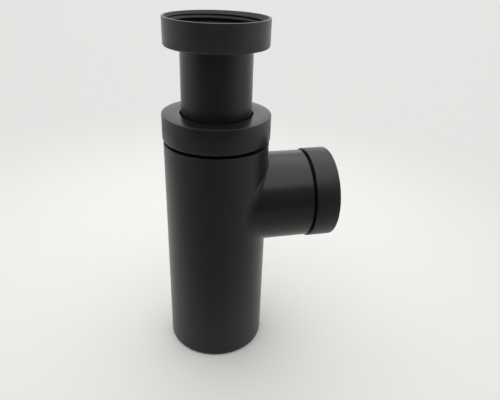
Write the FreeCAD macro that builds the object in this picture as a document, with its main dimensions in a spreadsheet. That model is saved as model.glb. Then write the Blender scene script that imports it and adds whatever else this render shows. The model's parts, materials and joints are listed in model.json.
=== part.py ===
import FreeCAD, Part
import math
import os
import Sketcher

# Driving sizes of the basin trap, in millimetres.
SIZES = {
    # Outside form of the bottle and its side branch
    "bottle_diameter": 49,
    "shoulder_height": 111.25,
    "shoulder_break": 0.05,
    "base_rounding": 1.5,
    "branch_diameter": 43.6,
    "branch_height": 80.5,
    "branch_reach": 43.65,
    "crotch_rounding": 1.2,
    "flank_rounding": 14,
    # Reach of the junction's rounding into the walls: a share of its radius at its edges, and its root
    "rounding_bite": 0.004,
    "rounding_root": 1.2,
    # Inside of the bottle and its branch
    "bottle_wall": 2.2,
    "bottle_floor": 2.8,
    "floor_rounding": 4,
    "throat_height": 99.6,
    "neck_bore": 32.8,
    "branch_bore": 39,
    "branch_bore_reach": 34.8,
    "socket_bore": 32.6,
    "seat_depth": 2,
    # Nuts, their gaps to the bottle and their edges
    "nut_length": 11.75,
    "coupling_diameter": 46,
    "collar_diameter": 49.8,
    "outlet_diameter": 45,
    "end_wall": 2.5,
    "passage_diameter": 33.4,
    "collar_gap": 1.5,
    "outlet_gap": 1.15,
    "edge_break": 0.3,
    "collar_rounding": 0.8,
    "coupling_rounding": 1,
    # Threads, drawn plain at their pitch diameters
    "collar_thread": 44,
    "pipe_thread": 40.4,
    "thread_play": 0.2,
    "thread_lead": 0.8,
    "mouth_lead": 1.6,
    "relief_depth": 0.8,
    "relief_width": 1.6,
    # Seals and slip rings under the nuts
    "seal_bore": 32.2,
    "seal_thickness": 2.2,
    "seal_play": 0.2,
    "slip_bore": 33,
    "slip_thickness": 1.2,
    "ring_play": 0.6,
    # Inlet tube and its coupling
    "tube_diameter": 32,
    "tube_wall": 1.2,
    "tube_length": 140,
    "flange_diameter": 37.6,
    "flange_thickness": 1.2,
    "gasket_thickness": 1.6,
    "coupling_height": 153.95,
    "coupling_floor": 1.4,
    "swivel_play": 0.2,
    "clip_inner": 31,
    "clip_outer": 34.6,
    "clip_thickness": 0.6,
    "clip_opening": 40,
    "clip_recess_diameter": 35.6,
    "clip_recess_depth": 1,
}

# Sections round the junction that its rounding passes through, and how fast it tightens off the flanks
JUNCTION_SECTIONS = 60
FLANK_FALL = 8

doc = FreeCAD.newDocument("basin_trap")
sheet = doc.addObject("Spreadsheet::Sheet", "size")
for row, (alias, size) in enumerate(SIZES.items(), start=1):
    sheet.set(f"A{row}", alias)
    sheet.set(f"B{row}", str(size))
    sheet.setAlias(f"B{row}", alias)
doc.recompute()

# Levels and sizes that follow from the driving ones
SEAL_STACK = "(size.end_wall + size.slip_thickness + size.seal_thickness)"
COLLAR_BASE = "(size.shoulder_height + size.collar_gap)"
NECK_TOP = f"({COLLAR_BASE} + size.nut_length - {SEAL_STACK})"
OUTLET_BASE = "(size.branch_reach + size.outlet_gap)"
OUTLET_NECK_END = f"({OUTLET_BASE} + size.nut_length - {SEAL_STACK})"
COUPLING_SEAT = "(size.clip_recess_depth + size.coupling_floor)"
FLANGE_LEVEL = f"({COUPLING_SEAT} + size.swivel_play)"
GASKET_LEVEL = f"({FLANGE_LEVEL} + size.flange_thickness)"
THREAD_LEVEL = f"({GASKET_LEVEL} + size.gasket_thickness + size.swivel_play)"
TUBE_FOOT = f"(size.coupling_height + {GASKET_LEVEL} - size.tube_length)"
CLIP_LEVEL = "(size.coupling_height + size.clip_recess_depth - size.swivel_play - size.clip_thickness)"
PIPE_NUT_THREAD = "(size.pipe_thread + size.thread_play)"
COLLAR_NUT_THREAD = "(size.collar_thread + size.thread_play)"


def value_of(formula):
    """The number that a formula of sheet names gives."""
    return float(sheet.evalExpression(formula))


def near(first, second):
    return abs(first - second) < 1e-4


def new_body(label):
    body = doc.addObject("PartDesign::Body", label)
    body.Label = label
    return body


def sketch_on(body, role, name):
    """A sketch on one of the body's own origin planes."""
    plane = next(item for item in body.Origin.OriginFeatures if item.Role == role)
    sketch = body.newObject("Sketcher::SketchObject", name)
    sketch.AttachmentSupport = [(plane, "")]
    sketch.MapMode = "FlatFace"
    return sketch


def tie(sketch, direction, corner, formula):
    """Hold one corner's distance from the sketch origin to a formula."""
    if formula == "0":
        axis = -2 if direction == "DistanceX" else -1
        sketch.addConstraint(Sketcher.Constraint("PointOnObject", corner, 1, axis))
        return
    rule = Sketcher.Constraint(direction, -1, 1, corner, 1, value_of(formula))
    name = f"{direction}_{corner}"
    sketch.renameConstraint(sketch.addConstraint(rule), name)
    sketch.setExpression(f"Constraints.{name}", formula)


def draw_outline(sketch, corners):
    """Closed straight outline through corners given as (across, along) formulas."""
    points = [FreeCAD.Vector(value_of(across), value_of(along), 0) for across, along in corners]
    ends = points[1:] + points[:1]
    sketch.addGeometry([Part.LineSegment(start, end) for start, end in zip(points, ends)], False)
    for corner, (across, along) in enumerate(corners):
        following = (corner + 1) % len(corners)
        sketch.addConstraint(Sketcher.Constraint("Coincident", corner, 2, following, 1))
        tie(sketch, "DistanceX", corner, across)
        tie(sketch, "DistanceY", corner, along)


def turn(body, name, corners, angle="360"):
    """Revolve an outline of (radius, height) corners about the body's Z axis."""
    sketch = sketch_on(body, "XZ_Plane", f"{name}_outline")
    draw_outline(sketch, corners)
    feature = body.newObject("PartDesign::Revolution", name)
    feature.Profile = sketch
    feature.ReferenceAxis = (sketch, ["V_Axis"])
    feature.setExpression("Angle", angle)
    doc.recompute()
    return feature


def rims(feature, circles):
    """Names of a feature's circular edges, each sought by (diameter, level) formulas."""
    sought = [(value_of(diameter) / 2, value_of(level)) for diameter, level in circles]
    names = []
    for number, edge in enumerate(feature.Shape.Edges, start=1):
        if not isinstance(edge.Curve, Part.Circle):
            continue
        curve = edge.Curve
        if any(near(curve.Radius, radius) and near(curve.Center.z, level) for radius, level in sought):
            names.append(f"Edge{number}")
    return names


def dress(body, kind, name, feature, circles, size):
    """Chamfer or round the circular edges named by their (diameter, level) formulas."""
    edge_feature = body.newObject(f"PartDesign::{kind}", name)
    edge_feature.Base = (feature, rims(feature, circles))
    edge_feature.setExpression("Size" if kind == "Chamfer" else "Radius", size)
    doc.recompute()
    return edge_feature


def stand(body, level):
    """Set an upright piece at a height on the bottle's axis."""
    body.setExpression("Placement.Base.z", level)


def lie_on_branch(body, reach):
    """Turn a piece's axis along the branch and set it at a distance from the bottle's axis."""
    body.Placement = FreeCAD.Placement(FreeCAD.Vector(), FreeCAD.Rotation(FreeCAD.Vector(0, 1, 0), 90))
    body.setExpression("Placement.Base.x", reach)
    body.setExpression("Placement.Base.z", "size.branch_height")


def make_end_nut(label, diameter, thread, rounding):
    """Nut with a flat end wall that the pipe passes through and a relief behind its thread."""
    ceiling = "(size.nut_length - size.end_wall)"
    relief = f"({thread} + 2 * size.relief_depth)"
    relief_level = f"({ceiling} - size.relief_width)"
    body = new_body(label)
    blank = turn(body, f"{label}_blank", [
        (f"{thread} / 2", "0"),
        (f"{diameter} / 2", "0"),
        (f"{diameter} / 2", "size.nut_length"),
        ("size.passage_diameter / 2", "size.nut_length"),
        ("size.passage_diameter / 2", ceiling),
        (f"{relief} / 2", ceiling),
        (f"{relief} / 2", relief_level),
        (f"{thread} / 2", relief_level),
    ])
    end_rims = [(diameter, "size.nut_length"), ("size.passage_diameter", "size.nut_length")]
    broken = dress(body, "Chamfer", f"{label}_end_edges", blank, end_rims, "size.edge_break")
    rounded = dress(body, "Fillet", f"{label}_open_edge", broken, [(diameter, "0")], rounding)
    dress(body, "Chamfer", f"{label}_lead", rounded, [(thread, "0")], "size.thread_lead")
    return body


def make_ring(label, inner, outer, thickness):
    """Flat washer."""
    body = new_body(label)
    sketch = sketch_on(body, "XY_Plane", f"{label}_outline")
    for number, diameter in enumerate((inner, outer)):
        circle = Part.Circle(FreeCAD.Vector(), FreeCAD.Vector(0, 0, 1), value_of(diameter) / 2)
        sketch.addGeometry(circle, False)
        sketch.addConstraint(Sketcher.Constraint("Coincident", number, 3, -1, 1))
        rule = Sketcher.Constraint("Diameter", number, value_of(diameter))
        sketch.renameConstraint(sketch.addConstraint(rule), f"diameter_{number}")
        sketch.setExpression(f"Constraints.diameter_{number}", diameter)
    pad = body.newObject("PartDesign::Pad", f"{label}_pad")
    pad.Profile = sketch
    pad.setExpression("Length", thickness)
    doc.recompute()
    return body


def make_cone_seal(label, outer, bore):
    """Rubber ring with a flange on the neck's end and a cone that enters the neck's seat."""
    nose_root = f"({bore} / 2 + size.seat_depth - size.seal_play)"
    nose_tip = f"({bore} / 2)"
    nose_depth = "(size.seat_depth - size.seal_play)"
    body = new_body(label)
    turn(body, f"{label}_ring", [
        ("size.seal_bore / 2", f"-{nose_depth}"),
        (nose_tip, f"-{nose_depth}"),
        (nose_root, "0"),
        (f"{outer} / 2", "0"),
        (f"{outer} / 2", "size.seal_thickness"),
        ("size.seal_bore / 2", "size.seal_thickness"),
    ])
    return body


def make_bottle():
    """Bottle and side branch in one piece: outside form, blended junction, then the hollow."""
    outside = new_body("bottle_outside")
    neck_root = "(size.collar_thread / 2 - size.relief_depth)"
    relief_top = "(size.shoulder_height + size.relief_width)"
    barrel = turn(outside, "barrel", [
        ("0", "0"),
        ("size.bottle_diameter / 2", "0"),
        ("size.bottle_diameter / 2", "size.shoulder_height"),
        (neck_root, "size.shoulder_height"),
        (neck_root, relief_top),
        ("size.collar_thread / 2", relief_top),
        ("size.collar_thread / 2", NECK_TOP),
        ("0", NECK_TOP),
    ])
    # The barrel is turned from an outline at the back, so that its seam stays clear of the branch
    barrel.Profile[0].AttachmentOffset = FreeCAD.Placement(
        FreeCAD.Vector(), FreeCAD.Rotation(FreeCAD.Vector(0, 1, 0), 180))
    doc.recompute()
    foot = dress(outside, "Fillet", "foot_rounding", barrel,
                 [("size.bottle_diameter", "0")], "size.base_rounding")
    shoulder = dress(outside, "Chamfer", "shoulder_edge", foot,
                     [("size.bottle_diameter", "size.shoulder_height")], "size.shoulder_break")
    dress(outside, "Chamfer", "neck_lead", shoulder, [("size.collar_thread", NECK_TOP)], "size.thread_lead")
    add_branch(outside)
    blend = blend_junction(outside)
    hollow = doc.addObject("Part::Cut", "bottle_hollow")
    hollow.Base = blend
    hollow.Tool = make_bottle_cavity()
    bottle = doc.addObject("Part::Cut", "bottle_body")
    bottle.Label = "bottle_body"
    bottle.Base = hollow
    bottle.Tool = make_branch_cavity()
    doc.recompute()
    return bottle


def add_branch(outside):
    """Side branch with the threaded neck at its end, turned about the branch's axis."""
    outline = sketch_on(outside, "XZ_Plane", "branch_outline")
    outline.setExpression("AttachmentOffset.Base.y", "size.branch_height")
    relief_end = "(size.branch_reach + size.relief_width)"
    neck_root = "(size.pipe_thread / 2 - size.relief_depth)"
    draw_outline(outline, [
        ("0", "0"),
        ("0", "size.branch_diameter / 2"),
        ("size.branch_reach - size.edge_break", "size.branch_diameter / 2"),
        ("size.branch_reach", "size.branch_diameter / 2 - size.edge_break"),
        ("size.branch_reach", neck_root),
        (relief_end, neck_root),
        (relief_end, "size.pipe_thread / 2"),
        (f"{OUTLET_NECK_END} - size.thread_lead", "size.pipe_thread / 2"),
        (OUTLET_NECK_END, "size.pipe_thread / 2 - size.thread_lead"),
        (OUTLET_NECK_END, "0"),
    ])
    branch = outside.newObject("PartDesign::Revolution", "branch")
    branch.Profile = outline
    branch.ReferenceAxis = (outline, ["H_Axis"])
    branch.Angle = 360
    doc.recompute()


def junction_section(angle):
    """Section of the rounding at an angle round the branch: a ball's arc, closed inside the walls."""
    bottle_radius = value_of("size.bottle_diameter / 2")
    branch_radius = value_of("size.branch_diameter / 2")
    level = value_of("size.branch_height")
    crotch = value_of("size.crotch_rounding")
    ball = crotch + (value_of("size.flank_rounding") - crotch) * math.cos(angle) ** FLANK_FALL
    standoff = ball * (1 - value_of("size.rounding_bite"))
    across = (branch_radius + standoff) * math.cos(angle)
    rise = (branch_radius + standoff) * math.sin(angle)
    out = math.sqrt((bottle_radius + standoff) ** 2 - across ** 2)
    centre = FreeCAD.Vector(out, across, level + rise)
    to_bottle = FreeCAD.Vector(-out, -across, 0).normalize()
    to_branch = FreeCAD.Vector(0, -across, -rise).normalize()
    on_bottle = centre + to_bottle * ball
    on_branch = centre + to_branch * ball
    between = centre + (to_bottle + to_branch).normalize() * ball
    corner_across = branch_radius * math.cos(angle)
    corner_out = math.sqrt(bottle_radius ** 2 - corner_across ** 2)
    corner = FreeCAD.Vector(corner_out, corner_across, level + branch_radius * math.sin(angle))
    root = corner + (corner - centre).normalize() * value_of("size.rounding_root")
    arc = Part.Arc(on_bottle, between, on_branch).toShape()
    return Part.Wire([arc, Part.makeLine(on_branch, root), Part.makeLine(root, on_bottle)])


def blend_junction(outside):
    """Round the junction of branch and bottle: tight above and below, wide at the two flanks."""
    step = 2 * math.pi / JUNCTION_SECTIONS
    sections = [junction_section((number + 0.3) * step) for number in range(JUNCTION_SECTIONS)]
    rounding = doc.addObject("Part::Feature", "junction_rounding")
    rounding.Shape = Part.makeLoft(sections, True, False, True)
    blend = doc.addObject("Part::Fuse", "bottle_blend")
    blend.Base = outside
    blend.Tool = rounding
    doc.recompute()
    return blend


def make_bottle_cavity():
    """Water space of the bottle with its throat, neck bore and conical seal seat."""
    cavity = new_body("bottle_cavity")
    inner = "(size.bottle_diameter / 2 - size.bottle_wall)"
    seat = "(size.neck_bore / 2 + size.seat_depth)"
    open_top = f"({NECK_TOP} + size.nut_length)"
    space = turn(cavity, "water_space", [
        ("0", "size.bottle_floor"),
        (inner, "size.bottle_floor"),
        (inner, "size.throat_height"),
        ("size.neck_bore / 2", f"size.throat_height + {inner} - size.neck_bore / 2"),
        ("size.neck_bore / 2", f"{NECK_TOP} - size.seat_depth"),
        (seat, NECK_TOP),
        (seat, open_top),
        ("0", open_top),
    ])
    dress(cavity, "Fillet", "floor_corner", space,
          [(f"2 * {inner}", "size.bottle_floor")], "size.floor_rounding")
    return cavity


def make_branch_cavity():
    """Water way of the branch with the pipe socket and conical seal seat at its end."""
    cavity = new_body("branch_cavity")
    seat = "(size.socket_bore / 2 + size.seat_depth)"
    open_end = f"({OUTLET_NECK_END} + size.nut_length)"
    turn(cavity, "water_way", [
        ("0", "0"),
        ("size.branch_bore / 2", "0"),
        ("size.branch_bore / 2", "size.branch_bore_reach"),
        ("size.socket_bore / 2", "size.branch_bore_reach + (size.branch_bore - size.socket_bore) / 2"),
        ("size.socket_bore / 2", f"{OUTLET_NECK_END} - size.seat_depth"),
        (seat, OUTLET_NECK_END),
        (seat, open_end),
        ("0", open_end),
    ])
    lie_on_branch(cavity, "0")
    return cavity


def make_coupling_nut():
    """Union nut with a pipe thread, open at the top, held on the tube by flange and spring ring."""
    body = new_body("coupling_nut")
    hole = "(size.tube_diameter / 2 + size.swivel_play)"
    relief = f"({PIPE_NUT_THREAD} / 2 + size.relief_depth / 2)"
    blank = turn(body, "coupling_blank", [
        ("size.clip_recess_diameter / 2", "0"),
        ("size.coupling_diameter / 2", "0"),
        ("size.coupling_diameter / 2", "size.nut_length"),
        (f"{PIPE_NUT_THREAD} / 2", "size.nut_length"),
        (f"{PIPE_NUT_THREAD} / 2", THREAD_LEVEL),
        (relief, THREAD_LEVEL),
        (relief, COUPLING_SEAT),
        (hole, COUPLING_SEAT),
        (hole, "size.clip_recess_depth"),
        ("size.clip_recess_diameter / 2", "size.clip_recess_depth"),
    ])
    lower = dress(body, "Fillet", "coupling_lower_edge", blank,
                  [("size.coupling_diameter", "0")], "size.coupling_rounding")
    upper = dress(body, "Chamfer", "coupling_upper_edge", lower,
                  [("size.coupling_diameter", "size.nut_length")], "size.edge_break")
    dress(body, "Chamfer", "coupling_lead", upper,
          [(PIPE_NUT_THREAD, "size.nut_length")], "size.mouth_lead")
    return body


def make_inlet_tube():
    """Dip tube with a flange at its top and a groove for the spring ring below it."""
    body = new_body("inlet_tube")
    inner = "(size.tube_diameter / 2 - size.tube_wall)"
    outer = "size.tube_diameter / 2"
    groove_level = f"({CLIP_LEVEL} - {TUBE_FOOT})"
    groove_top = f"({groove_level} + size.clip_thickness)"
    flange_level = "(size.tube_length - size.flange_thickness)"
    blank = turn(body, "tube_blank", [
        (inner, "0"),
        (outer, "0"),
        (outer, groove_level),
        ("size.clip_inner / 2", groove_level),
        ("size.clip_inner / 2", groove_top),
        (outer, groove_top),
        (outer, flange_level),
        ("size.flange_diameter / 2", flange_level),
        ("size.flange_diameter / 2", "size.tube_length"),
        (inner, "size.tube_length"),
    ])
    foot = dress(body, "Chamfer", "tube_foot", blank, [("size.tube_diameter", "0")], "size.edge_break")
    dress(body, "Fillet", "tube_lip", foot,
          [(f"2 * {inner}", "size.tube_length")], "size.flange_thickness / 2")
    return body


def make_retaining_ring():
    """Open spring ring that keeps the coupling nut up against the tube's flange."""
    body = new_body("retaining_ring")
    turn(body, "spring_ring", [
        ("size.clip_inner / 2", "0"),
        ("size.clip_outer / 2", "0"),
        ("size.clip_outer / 2", "size.clip_thickness"),
        ("size.clip_inner / 2", "size.clip_thickness"),
    ], "360 - size.clip_opening")
    return body


bottle_body = make_bottle()

collar_nut = make_end_nut("collar_nut", "size.collar_diameter", COLLAR_NUT_THREAD,
                          "size.collar_rounding")
stand(collar_nut, COLLAR_BASE)
collar_ring_diameter = f"({COLLAR_NUT_THREAD} - 2 * size.ring_play)"
collar_seal = make_cone_seal("collar_seal", collar_ring_diameter, "size.neck_bore")
stand(collar_seal, NECK_TOP)
collar_slip_ring = make_ring("collar_slip_ring", "size.slip_bore", collar_ring_diameter,
                             "size.slip_thickness")
stand(collar_slip_ring, f"{NECK_TOP} + size.seal_thickness")

outlet_nut = make_end_nut("outlet_nut", "size.outlet_diameter", PIPE_NUT_THREAD, "size.edge_break")
lie_on_branch(outlet_nut, OUTLET_BASE)
outlet_ring_diameter = f"({PIPE_NUT_THREAD} - 2 * size.ring_play)"
outlet_seal = make_cone_seal("outlet_seal", outlet_ring_diameter, "size.socket_bore")
lie_on_branch(outlet_seal, OUTLET_NECK_END)
outlet_slip_ring = make_ring("outlet_slip_ring", "size.slip_bore", outlet_ring_diameter,
                             "size.slip_thickness")
lie_on_branch(outlet_slip_ring, f"{OUTLET_NECK_END} + size.seal_thickness")

inlet_tube = make_inlet_tube()
stand(inlet_tube, TUBE_FOOT)
coupling_nut = make_coupling_nut()
stand(coupling_nut, "size.coupling_height")
coupling_gasket = make_ring("coupling_gasket", "size.tube_diameter - 2 * size.tube_wall",
                            "size.flange_diameter", "size.gasket_thickness")
stand(coupling_gasket, f"size.coupling_height + {GASKET_LEVEL}")
retaining_ring = make_retaining_ring()
stand(retaining_ring, CLIP_LEVEL)

doc.recompute()
SUB_PARTS = [
    bottle_body, collar_nut, collar_seal, collar_slip_ring, inlet_tube, coupling_nut,
    coupling_gasket, retaining_ring, outlet_nut, outlet_seal, outlet_slip_ring,
]

failed = [item.Label for item in doc.Objects if {"Invalid", "Error"} & set(item.State)]
shaped = SUB_PARTS + [doc.getObject("junction_rounding"), doc.getObject("bottle_blend")]
failed += [item.Label for item in shaped if item.Shape.isNull() or not item.Shape.isValid()]
if failed:
    raise RuntimeError("these pieces did not build: " + ", ".join(failed))

os.makedirs("parts", exist_ok=True)
for item in SUB_PARTS:
    item.Shape.exportStep(os.path.join("parts", f"{item.Label}.step"))
    print(item.Label, round(item.Shape.Volume), "mm3", len(item.Shape.Solids), "solid")
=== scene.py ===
import json
import math

import bpy
from mathutils import Matrix, Vector


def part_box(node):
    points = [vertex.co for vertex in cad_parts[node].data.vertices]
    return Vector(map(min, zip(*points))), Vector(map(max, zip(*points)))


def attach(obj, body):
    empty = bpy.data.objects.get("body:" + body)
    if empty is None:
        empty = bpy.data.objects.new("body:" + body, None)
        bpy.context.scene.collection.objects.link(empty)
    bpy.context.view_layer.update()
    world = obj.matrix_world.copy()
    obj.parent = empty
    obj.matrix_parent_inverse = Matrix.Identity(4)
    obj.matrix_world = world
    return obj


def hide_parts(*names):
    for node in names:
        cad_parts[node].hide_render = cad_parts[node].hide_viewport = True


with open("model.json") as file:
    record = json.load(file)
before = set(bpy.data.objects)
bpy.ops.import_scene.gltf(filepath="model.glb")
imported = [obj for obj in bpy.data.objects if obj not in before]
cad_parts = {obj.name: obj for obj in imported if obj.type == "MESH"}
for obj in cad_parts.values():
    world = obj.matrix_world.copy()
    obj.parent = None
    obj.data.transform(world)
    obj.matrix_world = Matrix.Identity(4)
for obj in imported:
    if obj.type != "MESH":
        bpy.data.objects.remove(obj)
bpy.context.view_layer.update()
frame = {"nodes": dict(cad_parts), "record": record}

MM = 0.001
FULL_TURN = 2 * math.pi
QUARTER_TURN = FULL_TURN / 4

# Nuts: sizes inside them that their boxes don't give
PASSAGE_RADIUS = 16.7 * MM
END_WALL = 2.5 * MM
THREAD_LEAD = 0.8 * MM
RELIEF_WIDTH = 1.6 * MM
RELIEF_DEPTH = 0.8 * MM
EDGE_ROUNDING = 0.3 * MM
COLLAR_ROUNDING = 0.8 * MM
SPRING_RECESS_RADIUS = 17.8 * MM
SPRING_RECESS_DEPTH = 1.0 * MM
COUPLING_HOLE_RADIUS = 16.2 * MM
COUPLING_SEAT = 2.4 * MM
COUPLING_THREAD_LEVEL = 5.6 * MM
COUPLING_RELIEF_RADIUS = 21.05 * MM
COUPLING_ROUNDING = 1.0 * MM
MOUTH_RADIUS = 21.9 * MM
MOUTH_ROUNDING = 0.15 * MM

# Threads: pitch, bore of the nut, bottom of the nut's groove, wall of the neck and top of its ridge
COLLAR_THREAD = {
    "pitch": 1.5 * MM,
    "bore": 22.1 * MM,
    "groove": 22.5 * MM,
    "wall": 22.0 * MM,
    "ridge": 22.42 * MM,
}
OUTLET_THREAD = {
    "pitch": 2.309 * MM,
    "bore": 20.3 * MM,
    "groove": 21.0 * MM,
    "wall": 20.2 * MM,
    "ridge": 20.9 * MM,
}
INLET_THREAD = {"pitch": 2.309 * MM, "bore": 19.5 * MM, "groove": 20.95 * MM}

# Where the threads start, and how many turns they have
INLET_THREAD_DEPTH = 7.03 * MM
INLET_THREAD_TURNS = 4
COLLAR_RIDGE_START = 114.0 * MM
COLLAR_RIDGE_TURNS = 2.3
OUTLET_RIDGE_START = 46.3 * MM
OUTLET_RIDGE_TURNS = 1.3

# Thread form: half widths as shares of the pitch, how far the tap stands into the bore, and a ridge's ends
GROOVE_HALF_OPENING = 0.41
GROOVE_HALF_BOTTOM = 0.09
TAP_CLEARANCE = 0.2 * MM
RIDGE_HALF_BASE = 0.33
RIDGE_HALF_TOP = 0.08
RIDGE_SINK = 0.15 * MM
RIDGE_RUNOUT = 3.0 * MM

# Fineness: steps in a full turn, parts of a rounding, limits for one place, an end face, a smooth edge
RING_STEPS = 160
COIL_STEPS = 96
ROUNDING_SEGMENTS = 4
MERGE_DISTANCE = 0.002 * MM
PLACE_TOLERANCE = 0.01 * MM
END_FACE_COSINE = 0.9
SMOOTH_EDGE_ANGLE = math.radians(28)

# Fine grain: sockets of the shared effect and detail of its two patterns
GRAIN_INPUTS = {
    "Grain Scale": "NodeSocketFloat",
    "Patch Scale": "NodeSocketFloat",
    "Dark": "NodeSocketColor",
    "Light": "NodeSocketColor",
    "Smooth": "NodeSocketFloat",
    "Rough": "NodeSocketFloat",
}
GRAIN_OUTPUTS = {
    "Color": "NodeSocketColor",
    "Roughness": "NodeSocketFloat",
    "Height": "NodeSocketFloat",
}
GRAIN_DETAIL = 3
PATCH_DETAIL = 2

# Finishes: refractive index of them all, and the grain that the black coats have in common
FINISH_IOR = 1.54
COAT_GRAIN_SCALE = 1400.0
COAT_PATCH_SCALE = 35.0
COAT_BUMP_DISTANCE = 0.02 * MM

# Camera of the photograph: its place round the bottle's axis, its aim and its lens
CAMERA_REACH = 214.418 * MM
CAMERA_HEIGHT = 190.518 * MM
CAMERA_AZIMUTH = math.radians(-10.004)
CAMERA_YAW = math.radians(-4.449)
CAMERA_PITCH = math.radians(27.277)
CAMERA_ROLL = math.radians(2.121)
FOCAL_PIXELS = 484.677
PHOTO_WIDTH = 500
SENSOR_WIDTH = 36.0
NEAREST_SEEN = 0.01
FARTHEST_SEEN = 50
TO_CAMERA = Vector((math.sin(CAMERA_AZIMUTH), -math.cos(CAMERA_AZIMUTH), 0))

# Floor: its colour from near the trap to far off, lighter near the trap as a painted pool of light and
# darker far off as painted shade, and the pool round the trap that the trap mirrors
FLOOR_RADIUS = 6.0
FLOOR_SIDES = 128
# Painted pool of light near the trap and painted shade far off, both given as floor colours
FLOOR_LIT_POOL_COLOUR = (0.96, 0.955, 0.925, 1)
FLOOR_SHADED_FAR_COLOUR = (0.8, 0.8, 0.783, 1)
FLOOR_ROUGHNESS = 0.7
FLOOR_SPECULAR = 0.2
LIT_POOL_CENTRE = TO_CAMERA * -0.1
FLOOR_SHADE_START = 0.03
FLOOR_SHADE_FULL = 0.33
# Painted shade in the trap's reflections: beyond this pool the floor fades and the dim surroundings show
# instead
POOL_CENTRE = TO_CAMERA * -0.13
POOL_STRETCH = 2.0
POOL_INNER = 0.16
POOL_OUTER = 0.44
POOL_STRENGTH = 0.75

# Surroundings: light levels round the trap, from behind it to its dark side, where the camera stands
DARK_SIDE_AZIMUTH = math.radians(-17)
WALL_PLACES = (0.0, 0.12, 0.33, 0.5, 0.71, 0.82, 0.93, 1.0)
GROUND_WALLS = (0.23, 0.28, 0.29, 0.36, 0.29, 0.24, 0.17, 0.02)
LOW_WALLS = (0.85, 0.79, 0.75, 0.67, 0.4, 0.13, 0.02, 0.06)
HIGH_WALLS = (1.18, 0.56, 0.36, 0.3, 0.23, 0.12, 0.08, 0.12)
CEILING = (1.85, 1.7, 1.55, 1.3, 1.25, 1.4, 1.5, 1.6)
BACKGROUND_COLOUR = (0.76, 0.76, 0.748, 1)

# Sines of the angles above the horizon between which each row of levels takes over from the one below
LOW_WALLS_RISE = (-0.34, -0.2)
HIGH_WALLS_RISE = (-0.05, 0.15)
CEILING_RISE = (0.6, 0.68)


def grey(level):
    """Opaque grey of one level."""
    return (level, level, level, 1)


def new_material(name):
    """Material with an empty node tree."""
    material = bpy.data.materials.new(name)
    material.use_nodes = True
    tree = material.node_tree
    tree.nodes.clear()
    return material, tree


def add_node(tree, kind, **settings):
    """Node of one kind with its settings."""
    node = tree.nodes.new(kind)
    for key, value in settings.items():
        setattr(node, key, value)
    return node


def add_rise(tree, source, low, high, start=0.0):
    """Smooth rise of a value to 1, between a low and a high limit of its source."""
    node = add_node(tree, "ShaderNodeMapRange", interpolation_type="SMOOTHSTEP")
    node.inputs["From Min"].default_value = low
    node.inputs["From Max"].default_value = high
    node.inputs["To Min"].default_value = start
    tree.links.new(source, node.inputs["Value"])
    return node.outputs["Result"]


def add_ramp(tree, source, levels):
    """Grey ramp of light levels at the wall places."""
    node = add_node(tree, "ShaderNodeValToRGB")
    elements = node.color_ramp.elements
    # A new ramp already has the first and the last place
    for place in WALL_PLACES[1:-1]:
        elements.new(place)
    for element, level in zip(elements, levels):
        element.color = grey(level)
    tree.links.new(source, node.inputs["Fac"])
    return node.outputs["Color"]


def add_mix(tree, factor, first, second):
    """Mix of two colours, each a plain colour or another node's output."""
    node = add_node(tree, "ShaderNodeMix", data_type="RGBA")
    for socket, source in (("Factor", factor), ("A", first), ("B", second)):
        if isinstance(source, bpy.types.NodeSocket):
            tree.links.new(source, node.inputs[socket])
        else:
            node.inputs[socket].default_value = source
    return node.outputs["Result"]


def make_fine_grain():
    """Shared effect: a fine grain that shifts colour and roughness a little and gives a bump height."""
    group = bpy.data.node_groups.new("fine_grain", "ShaderNodeTree")
    for name, kind in GRAIN_INPUTS.items():
        group.interface.new_socket(name, in_out="INPUT", socket_type=kind)
    for name, kind in GRAIN_OUTPUTS.items():
        group.interface.new_socket(name, in_out="OUTPUT", socket_type=kind)
    given = add_node(group, "NodeGroupInput")
    result = add_node(group, "NodeGroupOutput")
    place = add_node(group, "ShaderNodeTexCoord")
    grain = add_node(group, "ShaderNodeTexNoise")
    grain.inputs["Detail"].default_value = GRAIN_DETAIL
    patch = add_node(group, "ShaderNodeTexNoise")
    patch.inputs["Detail"].default_value = PATCH_DETAIL
    colour = add_node(group, "ShaderNodeMix", data_type="RGBA")
    rough = add_node(group, "ShaderNodeMapRange")
    link = group.links.new
    link(place.outputs["Object"], grain.inputs["Vector"])
    link(place.outputs["Object"], patch.inputs["Vector"])
    link(given.outputs["Grain Scale"], grain.inputs["Scale"])
    link(given.outputs["Patch Scale"], patch.inputs["Scale"])
    link(patch.outputs["Fac"], colour.inputs["Factor"])
    link(given.outputs["Dark"], colour.inputs["A"])
    link(given.outputs["Light"], colour.inputs["B"])
    link(grain.outputs["Fac"], rough.inputs["Value"])
    link(given.outputs["Smooth"], rough.inputs["To Min"])
    link(given.outputs["Rough"], rough.inputs["To Max"])
    link(colour.outputs["Result"], result.inputs["Color"])
    link(rough.outputs["Result"], result.inputs["Roughness"])
    link(grain.outputs["Fac"], result.inputs["Height"])
    return group


def make_finish(name, grain_values, bump_distance, bump_strength, metallic=0.0):
    """Surface finish with the fine grain in its colour, roughness and bump."""
    material, tree = new_material(name)
    grain = add_node(tree, "ShaderNodeGroup", node_tree=fine_grain)
    for key, value in grain_values.items():
        grain.inputs[key].default_value = value
    bump = add_node(tree, "ShaderNodeBump")
    bump.inputs["Distance"].default_value = bump_distance
    bump.inputs["Strength"].default_value = bump_strength
    shader = add_node(tree, "ShaderNodeBsdfPrincipled")
    shader.inputs["Metallic"].default_value = metallic
    shader.inputs["IOR"].default_value = FINISH_IOR
    output = add_node(tree, "ShaderNodeOutputMaterial")
    link = tree.links.new
    link(grain.outputs["Color"], shader.inputs["Base Color"])
    link(grain.outputs["Roughness"], shader.inputs["Roughness"])
    link(grain.outputs["Height"], bump.inputs["Height"])
    link(bump.outputs["Normal"], shader.inputs["Normal"])
    link(shader.outputs["BSDF"], output.inputs["Surface"])
    return material


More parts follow.
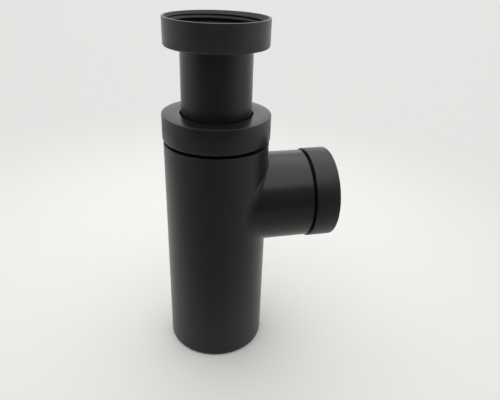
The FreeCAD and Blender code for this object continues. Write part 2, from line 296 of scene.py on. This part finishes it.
def make_black_coat(name, dark, light, smooth, rough, bump_strength):
    """One of the black coats: they differ in tone, in roughness and in the strength of the bump."""
    return make_finish(name, {
        "Grain Scale": COAT_GRAIN_SCALE,
        "Patch Scale": COAT_PATCH_SCALE,
        "Dark": dark,
        "Light": light,
        "Smooth": smooth,
        "Rough": rough,
    }, COAT_BUMP_DISTANCE, bump_strength)


# Finishes of the pieces
fine_grain = make_fine_grain()
bottle_coating = make_black_coat(
    "matte_black_bottle_coating",
    dark=(0.0115, 0.0116, 0.0113, 1),
    light=(0.0140, 0.0141, 0.0138, 1),
    smooth=0.25,
    rough=0.33,
    bump_strength=0.25,
)
nut_coating = make_black_coat(
    "matte_black_nut_coating",
    dark=(0.0106, 0.0116, 0.0134, 1),
    light=(0.0132, 0.0144, 0.0166, 1),
    smooth=0.36,
    rough=0.44,
    bump_strength=0.3,
)
# Union nut's coat: the same black coat, made lighter in tone as painted light on the nut
coupling_coat_with_painted_light = make_black_coat(
    "matte_black_coupling_coat_with_painted_light",
    dark=(0.0190, 0.0198, 0.0208, 1),
    light=(0.0230, 0.0239, 0.0252, 1),
    smooth=0.29,
    rough=0.37,
    bump_strength=0.3,
)
# Dull coat in the union nut's mouth: rougher than outside, and lighter in tone as painted light in the
# thread's grooves
mouth_coat_with_painted_light = make_black_coat(
    "dull_black_mouth_coat_with_painted_light",
    dark=(0.0360, 0.0367, 0.0396, 1),
    light=(0.0420, 0.0428, 0.0462, 1),
    smooth=0.66,
    rough=0.76,
    bump_strength=0.3,
)
black_rubber = make_finish("seal_rubber", {
    "Grain Scale": 600.0,
    "Patch Scale": 40.0,
    "Dark": grey(0.012),
    "Light": grey(0.02),
    "Smooth": 0.55,
    "Rough": 0.75,
}, bump_distance=0.05 * MM, bump_strength=0.4)
white_plastic = make_finish("slip_ring_plastic", {
    "Grain Scale": 500.0,
    "Patch Scale": 40.0,
    "Dark": (0.72, 0.72, 0.68, 1),
    "Light": (0.8, 0.8, 0.77, 1),
    "Smooth": 0.3,
    "Rough": 0.45,
}, bump_distance=0.02 * MM, bump_strength=0.2)
spring_steel = make_finish("spring_steel", {
    "Grain Scale": 800.0,
    "Patch Scale": 40.0,
    "Dark": grey(0.5),
    "Light": grey(0.62),
    "Smooth": 0.25,
    "Rough": 0.4,
}, bump_distance=0.02 * MM, bump_strength=0.2, metallic=1.0)

SLOT_FINISHES = {
    "black_coating": bottle_coating,
    "black_rubber": black_rubber,
    "white_plastic": white_plastic,
    "spring_steel": spring_steel,
}


def coat_solids():
    """Finish of each solid, by its material slot."""
    for subpart in frame["record"]["subparts"]:
        mesh = frame["nodes"][subpart["node"]].data
        mesh.materials.clear()
        mesh.materials.append(SLOT_FINISHES[subpart["material_slot"]])


def only_select(piece):
    """Select one piece alone and make it the active one."""
    bpy.ops.object.select_all(action="DESELECT")
    piece.select_set(True)
    bpy.context.view_layer.objects.active = piece


def draw_outline(name, corners):
    """Closed outline through (radius, level) corners beside the Z axis, drawn from corner to corner."""
    places = [Vector((radius, 0, level)) for radius, level in corners]
    bpy.ops.object.select_all(action="DESELECT")
    # A small plane merged to one point is the first corner
    bpy.ops.mesh.primitive_plane_add(size=MM, location=places[0])
    piece = bpy.context.object
    piece.name = name
    bpy.ops.object.mode_set(mode="EDIT")
    bpy.ops.mesh.select_mode(type="VERT")
    bpy.ops.mesh.select_all(action="SELECT")
    bpy.ops.mesh.merge(type="CENTER")
    for here, there in zip(places, places[1:] + places[:1]):
        bpy.ops.mesh.extrude_vertices_move(TRANSFORM_OT_translate={"value": there - here})
    bpy.ops.mesh.select_all(action="SELECT")
    bpy.ops.mesh.remove_doubles(threshold=MERGE_DISTANCE)
    bpy.ops.object.mode_set(mode="OBJECT")
    bpy.ops.object.transform_apply(location=True, rotation=False, scale=False)
    return piece


def turn_piece(name, corners):
    """Turn an outline about the Z axis into a closed ring."""
    piece = draw_outline(name, corners)
    bpy.ops.object.mode_set(mode="EDIT")
    bpy.ops.mesh.select_all(action="SELECT")
    bpy.ops.mesh.spin(steps=RING_STEPS, angle=FULL_TURN, center=(0, 0, 0), axis=(0, 0, 1))
    bpy.ops.mesh.select_all(action="SELECT")
    bpy.ops.mesh.remove_doubles(threshold=MERGE_DISTANCE)
    bpy.ops.mesh.normals_make_consistent(inside=False)
    bpy.ops.object.mode_set(mode="OBJECT")
    return piece


def round_rim(piece, radius, level, rounding):
    """Round the circular edge that lies at a radius and a level."""
    bpy.ops.object.mode_set(mode="EDIT")
    bpy.ops.mesh.select_all(action="DESELECT")
    bpy.ops.object.mode_set(mode="OBJECT")
    for edge in piece.data.edges:
        ends = [piece.data.vertices[index].co for index in edge.vertices]
        aside = max(abs(end.xy.length - radius) for end in ends)
        above = max(abs(end.z - level) for end in ends)
        edge.select = max(aside, above) < PLACE_TOLERANCE
    bpy.ops.object.mode_set(mode="EDIT")
    bpy.ops.mesh.select_mode(type="EDGE")
    bpy.ops.mesh.bevel(offset=rounding, segments=ROUNDING_SEGMENTS, affect="EDGES")
    bpy.ops.object.mode_set(mode="OBJECT")


def wind_coil(name, corners, pitch, turns):
    """Wind a small closed outline into a right-handed coil with closed ends."""
    coil = draw_outline(name, corners)
    winding = coil.modifiers.new("winding", "SCREW")
    winding.angle = FULL_TURN * turns
    winding.screw_offset = pitch * turns
    winding.steps = round(COIL_STEPS * turns)
    winding.render_steps = winding.steps
    bpy.ops.object.modifier_apply(modifier="winding")
    bpy.ops.object.mode_set(mode="EDIT")
    bpy.ops.mesh.select_all(action="SELECT")
    bpy.ops.mesh.fill_holes(sides=0)
    bpy.ops.mesh.select_all(action="SELECT")
    bpy.ops.mesh.normals_make_consistent(inside=False)
    bpy.ops.object.mode_set(mode="OBJECT")
    return coil


def cut_thread(nut, thread, start, turns):
    """Cut a helical groove into a nut's bore, as a tap does."""
    opening = GROOVE_HALF_OPENING * thread["pitch"]
    bottom = GROOVE_HALF_BOTTOM * thread["pitch"]
    flank = (opening - bottom) / (thread["groove"] - thread["bore"])
    back = thread["bore"] - TAP_CLEARANCE
    half_back = opening + flank * TAP_CLEARANCE
    tap = wind_coil("tap", [
        (back, start - half_back),
        (thread["groove"], start - bottom),
        (thread["groove"], start + bottom),
        (back, start + half_back),
    ], thread["pitch"], turns)
    only_select(nut)
    cutting = nut.modifiers.new("thread", "BOOLEAN")
    cutting.object = tap
    cutting.operation = "DIFFERENCE"
    bpy.ops.object.modifier_apply(modifier="thread")
    bpy.data.objects.remove(tap)


def wind_ridge(name, thread, start, turns):
    """Thread ridge on a neck, sunk a little into its wall and running out at both ends."""
    base = RIDGE_HALF_BASE * thread["pitch"]
    top = RIDGE_HALF_TOP * thread["pitch"]
    foot = thread["wall"] - RIDGE_SINK
    ridge = wind_coil(name, [
        (foot, start - base),
        (thread["ridge"], start - top),
        (thread["ridge"], start + top),
        (foot, start + base),
    ], thread["pitch"], turns)
    bpy.ops.object.mode_set(mode="EDIT")
    bpy.ops.mesh.select_mode(type="FACE")
    bpy.ops.mesh.select_all(action="DESELECT")
    bpy.ops.object.mode_set(mode="OBJECT")
    for face in ridge.data.polygons:
        along = Vector((-face.center.y, face.center.x, 0)).normalized()
        face.select = abs(face.normal.dot(along)) > END_FACE_COSINE
    bpy.ops.object.mode_set(mode="EDIT")
    # Each end face runs on to a point that is drawn in below the neck's wall
    bpy.ops.mesh.extrude_region_shrink_fatten(TRANSFORM_OT_shrink_fatten={"value": RIDGE_RUNOUT})
    bpy.ops.mesh.merge(type="COLLAPSE")
    tip = math.hypot((foot + thread["ridge"]) / 2, RIDGE_RUNOUT)
    sunk = foot / tip
    bpy.ops.transform.resize(value=(sunk, sunk, 1), center_override=(0, 0, 0))
    bpy.ops.object.mode_set(mode="OBJECT")
    return ridge


def finish_piece(piece, finish, body):
    """Smooth shading, finish and carrier of a modelled piece."""
    only_select(piece)
    bpy.ops.object.shade_smooth_by_angle(angle=SMOOTH_EDGE_ANGLE)
    piece.data.materials.clear()
    piece.data.materials.append(finish)
    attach(piece, body)


def end_nut_outline(radius, base, length, thread):
    """Corners of a nut with a flat end wall and a relief behind its thread."""
    ceiling = base + length - END_WALL
    relief = thread["bore"] + RELIEF_DEPTH
    return [
        (thread["bore"] + THREAD_LEAD, base),
        (radius, base),
        (radius, base + length),
        (PASSAGE_RADIUS, base + length),
        (PASSAGE_RADIUS, ceiling),
        (relief, ceiling),
        (relief, ceiling - RELIEF_WIDTH),
        (thread["bore"], ceiling - RELIEF_WIDTH),
        (thread["bore"], base + THREAD_LEAD),
    ]


def make_end_nut(name, radius, base, length, thread, ridge_start, rounding):
    """Nut for a threaded neck, with a hole for a tube or pipe through its end wall."""
    nut = turn_piece(name, end_nut_outline(radius, base, length, thread))
    round_rim(nut, radius, base, rounding)
    round_rim(nut, radius, base + length, EDGE_ROUNDING)
    round_rim(nut, PASSAGE_RADIUS, base + length, EDGE_ROUNDING)
    relief_middle = base + length - END_WALL - RELIEF_WIDTH / 2
    start = ridge_start - thread["pitch"]
    cut_thread(nut, thread, start, (relief_middle - start) / thread["pitch"])
    return nut


def lay_on_branch(piece):
    """Turn a piece that stands on the Z axis along the branch."""
    low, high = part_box("outlet_nut")
    piece.rotation_euler = (0, QUARTER_TURN, 0)
    piece.location = (0, 0, (low.z + high.z) / 2)
    only_select(piece)
    bpy.ops.object.transform_apply(location=True, rotation=True, scale=False)


def coat_mouth_with_painted_light(nut, seat):
    """Dull coat on the union nut's chamfer and thread, above the gasket's seat, lighter in tone than the
    coats outside as painted light in the thread's grooves.
    """
    nut.data.materials.append(mouth_coat_with_painted_light)
    for face in nut.data.polygons:
        within = face.center.xy.length < MOUTH_RADIUS
        face.material_index = int(within and face.center.z > seat + PLACE_TOLERANCE)


def make_coupling_nut():
    """Union nut: open at the top with a chamfered mouth and a pipe thread in its wall."""
    low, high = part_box("coupling_nut")
    base, top, radius = low.z, high.z, high.x
    bore = INLET_THREAD["bore"]
    nut = turn_piece("threaded_coupling_nut", [
        (SPRING_RECESS_RADIUS, base),
        (radius, base),
        (radius, top),
        (MOUTH_RADIUS, top),
        (bore, top - (MOUTH_RADIUS - bore)),
        (bore, base + COUPLING_THREAD_LEVEL),
        (COUPLING_RELIEF_RADIUS, base + COUPLING_THREAD_LEVEL),
        (COUPLING_RELIEF_RADIUS, base + COUPLING_SEAT),
        (COUPLING_HOLE_RADIUS, base + COUPLING_SEAT),
        (COUPLING_HOLE_RADIUS, base + SPRING_RECESS_DEPTH),
        (SPRING_RECESS_RADIUS, base + SPRING_RECESS_DEPTH),
    ])
    round_rim(nut, radius, base, COUPLING_ROUNDING)
    round_rim(nut, radius, top, MOUTH_ROUNDING)
    cut_thread(nut, INLET_THREAD, top - INLET_THREAD_DEPTH, INLET_THREAD_TURNS)
    finish_piece(nut, coupling_coat_with_painted_light, "coupling")
    coat_mouth_with_painted_light(nut, base + COUPLING_SEAT)
    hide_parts("coupling_nut")


def make_collar_nut():
    """Flat-topped nut on the bottle's neck."""
    low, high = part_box("collar_nut")
    nut = make_end_nut("threaded_collar_nut", high.x, low.z, high.z - low.z,
                       COLLAR_THREAD, COLLAR_RIDGE_START, COLLAR_ROUNDING)
    finish_piece(nut, bottle_coating, "collar")
    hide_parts("collar_nut")


def make_outlet_nut():
    """Nut on the branch's neck, made upright and then laid along the branch."""
    low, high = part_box("outlet_nut")
    nut = make_end_nut("threaded_outlet_nut", high.y, low.x, high.x - low.x,
                       OUTLET_THREAD, OUTLET_RIDGE_START, EDGE_ROUNDING)
    lay_on_branch(nut)
    finish_piece(nut, nut_coating, "outlet")
    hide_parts("outlet_nut")


def make_neck_threads():
    """Thread ridges on the bottle's neck and on the branch's."""
    collar_ridge = wind_ridge("collar_neck_thread", COLLAR_THREAD, COLLAR_RIDGE_START, COLLAR_RIDGE_TURNS)
    finish_piece(collar_ridge, bottle_coating, "bottle")
    outlet_ridge = wind_ridge("outlet_neck_thread", OUTLET_THREAD, OUTLET_RIDGE_START, OUTLET_RIDGE_TURNS)
    lay_on_branch(outlet_ridge)
    finish_piece(outlet_ridge, bottle_coating, "bottle")


def place_camera():
    """Camera at the photograph's point of view."""
    place = TO_CAMERA * CAMERA_REACH + Vector((0, 0, CAMERA_HEIGHT))
    heading = CAMERA_AZIMUTH + CAMERA_YAW
    level = math.cos(CAMERA_PITCH)
    forward = Vector((-math.sin(heading) * level, math.cos(heading) * level, -math.sin(CAMERA_PITCH)))
    right = Vector((math.cos(heading), math.sin(heading), 0))
    up = right.cross(forward)
    rolled_right = right * math.cos(CAMERA_ROLL) + up * math.sin(CAMERA_ROLL)
    rolled_up = up * math.cos(CAMERA_ROLL) - right * math.sin(CAMERA_ROLL)
    lens = bpy.data.cameras.new("photo_camera")
    lens.sensor_fit = "HORIZONTAL"
    lens.sensor_width = SENSOR_WIDTH
    lens.lens = FOCAL_PIXELS / PHOTO_WIDTH * SENSOR_WIDTH
    lens.clip_start = NEAREST_SEEN
    lens.clip_end = FARTHEST_SEEN
    camera = bpy.data.objects.new("photo_camera", lens)
    bpy.context.scene.collection.objects.link(camera)
    axes = Matrix((rolled_right, rolled_up, -forward)).transposed().to_4x4()
    camera.matrix_world = Matrix.Translation(place) @ axes
    bpy.context.scene.camera = camera


def make_floor_finish():
    """Pale floor with a painted pool of light round the trap and painted shade far off, that fades out of
    what the trap mirrors as painted shade.
    """
    material, tree = new_material("pale_floor")
    link = tree.links.new
    place = add_node(tree, "ShaderNodeTexCoord").outputs["Object"]
    reach = add_node(tree, "ShaderNodeVectorMath", operation="DISTANCE")
    reach.inputs[1].default_value = LIT_POOL_CENTRE
    link(place, reach.inputs[0])
    # Painted light and shade: the floor's colour is lighter near the trap and darker far off
    far = add_rise(tree, reach.outputs["Value"], FLOOR_SHADE_START, FLOOR_SHADE_FULL)
    shader = add_node(tree, "ShaderNodeBsdfPrincipled")
    shader.inputs["Roughness"].default_value = FLOOR_ROUGHNESS
    shader.inputs["Specular IOR Level"].default_value = FLOOR_SPECULAR
    link(add_mix(tree, far, FLOOR_LIT_POOL_COLOUR, FLOOR_SHADED_FAR_COLOUR), shader.inputs["Base Color"])
    around = add_node(tree, "ShaderNodeMapping", vector_type="TEXTURE")
    around.inputs["Location"].default_value = POOL_CENTRE
    around.inputs["Rotation"].default_value = (0, 0, CAMERA_AZIMUTH)
    around.inputs["Scale"].default_value = (1, 1 / POOL_STRETCH, 1)
    link(place, around.inputs["Vector"])
    distance = add_node(tree, "ShaderNodeVectorMath", operation="LENGTH")
    link(around.outputs["Vector"], distance.inputs[0])
    mirror_shade = add_rise(tree, distance.outputs["Value"], POOL_INNER, POOL_OUTER, start=1 - POOL_STRENGTH)
    # Mirrored light alone sees the floor fade: painted shade on the floor as the trap mirrors it, with the
    # dim surroundings showing through
    path = add_node(tree, "ShaderNodeLightPath")
    ended = add_node(tree, "ShaderNodeMath", operation="MULTIPLY")
    link(mirror_shade, ended.inputs[0])
    link(path.outputs["Is Glossy Ray"], ended.inputs[1])
    clear = add_node(tree, "ShaderNodeBsdfTransparent")
    surface = add_node(tree, "ShaderNodeMixShader")
    link(ended.outputs["Value"], surface.inputs["Fac"])
    link(shader.outputs["BSDF"], surface.inputs[1])
    link(clear.outputs["BSDF"], surface.inputs[2])
    output = add_node(tree, "ShaderNodeOutputMaterial")
    link(surface.outputs["Shader"], output.inputs["Surface"])
    return material


def lay_floor():
    """Floor that the trap stands on."""
    bpy.ops.object.select_all(action="DESELECT")
    bpy.ops.mesh.primitive_circle_add(vertices=FLOOR_SIDES, radius=FLOOR_RADIUS, fill_type="NGON")
    floor = bpy.context.object
    floor.name = "pale_floor"
    floor.data.materials.append(make_floor_finish())


def light_world():
    """Soft surroundings: bright above and behind the trap, grey at its sides, dark round the camera."""
    world = bpy.data.worlds.new("soft_surroundings")
    bpy.context.scene.world = world
    world.use_nodes = True
    tree = world.node_tree
    link = tree.links.new
    direction = add_node(tree, "ShaderNodeTexCoord").outputs["Generated"]
    facing = add_node(tree, "ShaderNodeVectorMath", operation="DOT_PRODUCT")
    facing.inputs[1].default_value = (math.sin(DARK_SIDE_AZIMUTH), -math.cos(DARK_SIDE_AZIMUTH), 0)
    link(direction, facing.inputs[0])
    # The side is 0 behind the trap and 1 on its dark side
    around = add_node(tree, "ShaderNodeMapRange")
    around.inputs["From Min"].default_value = -1
    link(facing.outputs["Value"], around.inputs["Value"])
    side = around.outputs["Result"]
    split = add_node(tree, "ShaderNodeSeparateXYZ")
    link(direction, split.inputs["Vector"])
    height = split.outputs["Z"]
    room = add_ramp(tree, side, GROUND_WALLS)
    for levels, rise in (
        (LOW_WALLS, LOW_WALLS_RISE),
        (HIGH_WALLS, HIGH_WALLS_RISE),
        (CEILING, CEILING_RISE),
    ):
        room = add_mix(tree, add_rise(tree, height, *rise), room, add_ramp(tree, side, levels))
    path = add_node(tree, "ShaderNodeLightPath")
    seen = add_mix(tree, path.outputs["Is Camera Ray"], room, BACKGROUND_COLOUR)
    link(seen, tree.nodes["Background"].inputs["Color"])


coat_solids()
make_coupling_nut()
make_collar_nut()
make_outlet_nut()
make_neck_threads()
place_camera()
lay_floor()
light_world()
bpy.context.scene.view_settings.view_transform = "Standard"
